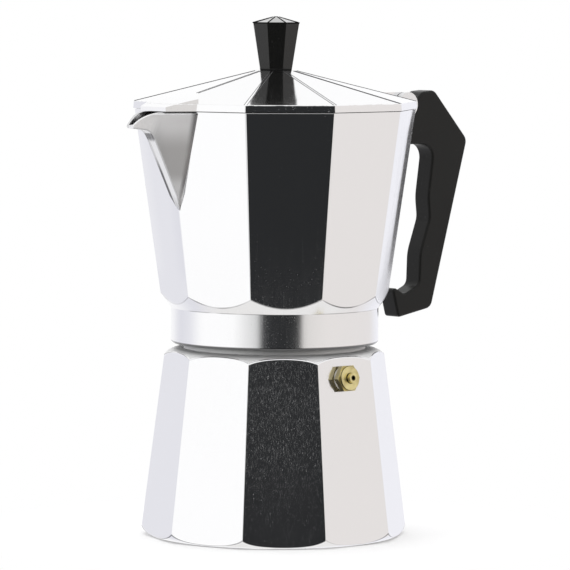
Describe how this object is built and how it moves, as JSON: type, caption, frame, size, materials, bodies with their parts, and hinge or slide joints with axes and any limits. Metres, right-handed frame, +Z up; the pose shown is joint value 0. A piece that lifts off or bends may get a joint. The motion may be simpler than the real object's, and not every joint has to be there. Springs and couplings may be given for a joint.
{
  "type": "moka pot",
  "caption": "Stovetop moka pot with faceted aluminium boiler and collector that screw together, coffee funnel, gasket, hinged lid with knob, black handle and brass safety valve.",
  "frame": {"origin": "centre of the flat foot, on the pot's axis, at the surface it stands on", "axes": "+Z up along the pot's axis, +X towards the handle, -X towards the spout"},
  "size_m": [0.1829, 0.111, 0.212],
  "materials": {
    "aluminium": "polished cast aluminium, faint brushing along the facets",
    "spun_aluminium": "plain drawn aluminium, satin",
    "black_plastic": "satin black moulded heat-resistant plastic",
    "brass": "machined yellow brass, lightly tarnished",
    "steel": "turned stainless steel",
    "white_rubber": "off-white food-grade silicone rubber",
    "pale_fibre": "pressed pale fibre sealing washer"
  },
  "bodies": {
    "boiler": {"boiler": "aluminium", "valve_body": "brass", "valve_plug": "brass", "valve_washer": "pale_fibre", "valve_spring": "steel"},
    "valve_ball": {"valve_ball": "steel"},
    "funnel": {"funnel": "spun_aluminium", "funnel_plate": "spun_aluminium"},
    "seal": {"gasket": "white_rubber", "filter_plate": "spun_aluminium"},
    "collector": {"collector": "aluminium", "column": "spun_aluminium", "column_cap": "spun_aluminium", "handle": "black_plastic", "handle_pin": "steel", "hinge_pin": "steel"},
    "lid": {"lid": "aluminium", "knob": "black_plastic", "knob_screw": "steel", "knob_washer": "steel"}
  },
  "joints": [
    {"name": "valve_release", "type": "slide", "parent": "boiler", "child": "valve_ball", "axis": [-0.0234, -0.9923, 0.1219], "range_m": [0, 0.0008], "stiffness_N_per_m": 200, "springref_m": -0.002, "deforming": ["valve_spring"]},
    {"name": "funnel_lift", "type": "slide", "parent": "boiler", "child": "funnel", "axis": [0, 0, 1], "range_m": [0, 0.085]},
    {"name": "thread_rise", "type": "slide", "parent": "funnel", "child": "seal", "axis": [0, 0, 1], "range_m": [0, 0.0102]},
    {"name": "collector_turn", "type": "hinge", "parent": "seal", "child": "collector", "pos_m": [0, 0, 0.09], "axis": [0, 0, 1], "range_deg": [0, 900]},
    {"name": "lid_hinge", "type": "hinge", "parent": "collector", "child": "lid", "pos_m": [0.0704, 0, 0.1749], "axis": [0, 1, 0], "range_deg": [0, 100]}
  ],
  "couplings": [
    {"joint": "thread_rise", "follows": "collector_turn", "m_per_rad": 0.00063662}
  ]
}
